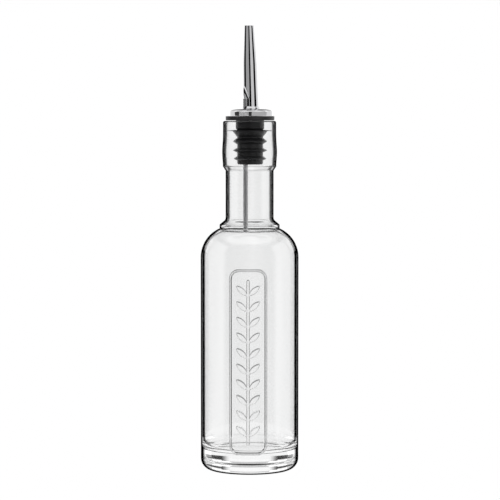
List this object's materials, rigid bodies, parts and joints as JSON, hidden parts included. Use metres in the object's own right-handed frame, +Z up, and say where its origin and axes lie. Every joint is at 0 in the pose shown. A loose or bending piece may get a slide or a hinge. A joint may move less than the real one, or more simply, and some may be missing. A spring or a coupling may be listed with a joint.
{
  "type": "pourer bottle",
  "caption": "Clear round glass oil bottle with a long neck and a raised front panel, closed by a finned black stopper that carries a tapered steel pouring spout and an air tube.",
  "frame": {"origin": "on the surface the bottle stands on, under the middle of its base", "axes": "+Z up along the bottle's axis to the spout; the raised panel faces -Y; +X is to the right of the panel"},
  "size_m": [0.056, 0.0565, 0.2543],
  "materials": {
    "glass": "clear, colourless, fire-polished",
    "rubber": "moulded black, satin",
    "polished_steel": "polished stainless steel",
    "tube_steel": "drawn stainless tube, satin"
  },
  "bodies": {
    "root": {"bottle": "glass", "stopper": "rubber", "cap": "polished_steel", "spout": "polished_steel", "air_tube": "tube_steel"}
  },
  "joints": []
}
